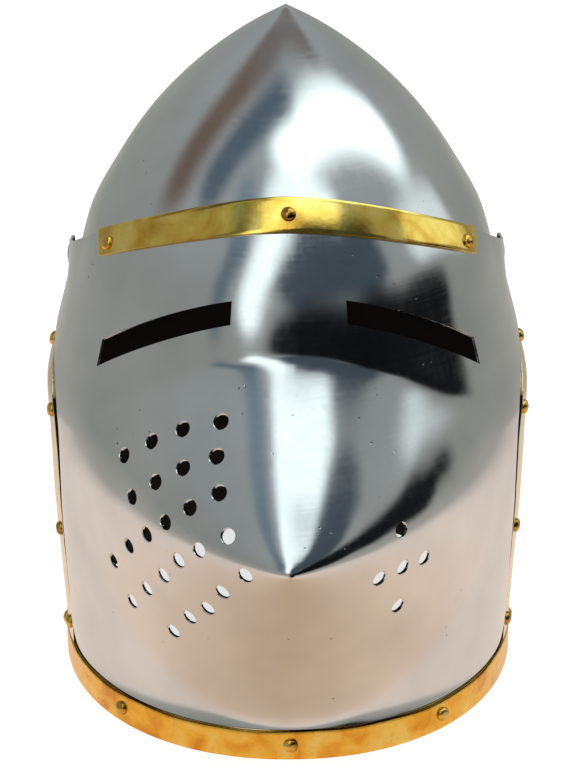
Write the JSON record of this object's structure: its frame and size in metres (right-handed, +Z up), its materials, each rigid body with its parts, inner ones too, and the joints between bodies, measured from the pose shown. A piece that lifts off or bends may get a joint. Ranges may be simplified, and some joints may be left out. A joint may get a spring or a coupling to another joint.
{
  "type": "pig-faced bascinet",
  "caption": "Pointed steel helmet with a hinged snout-shaped visor, eye slits and breath holes, trimmed with riveted brass strips.",
  "frame": {"origin": "middle of the bounding box at the rim, which stands on the floor", "axes": "+Z up, -Y the way the face looks, +X the wearer's left"},
  "size_m": [0.2092, 0.2932, 0.289],
  "materials": {
    "steel": "hand-polished plate with fine streaks and small pits",
    "brass": "polished, with tarnish in places"
  },
  "bodies": {
    "skull": {"skull": "steel", "base_band": "brass", "side_trim_left": "brass", "side_trim_right": "brass", "band_rivet_1": "brass", "band_rivet_2": "brass", "band_rivet_3": "brass", "band_rivet_4": "brass", "band_rivet_5": "brass", "band_rivet_6": "brass", "band_rivet_7": "brass", "band_rivet_8": "brass", "trim_rivet_left_1": "brass", "trim_rivet_left_2": "brass", "trim_rivet_left_3": "brass", "trim_rivet_left_4": "brass", "trim_rivet_right_1": "brass", "trim_rivet_right_2": "brass", "trim_rivet_right_3": "brass", "trim_rivet_right_4": "brass"},
    "visor": {"visor": "steel", "brow_strip": "brass", "brow_rivet_1": "brass", "brow_rivet_2": "brass", "brow_rivet_3": "brass", "pivot_rivet_left": "steel", "pivot_rivet_right": "steel"}
  },
  "joints": [
    {"name": "visor_hinge", "type": "hinge", "parent": "skull", "child": "visor", "pos_m": [0, 0.0516, 0.172], "axis": [-1, 0, 0], "range_deg": [0, 75]}
  ]
}
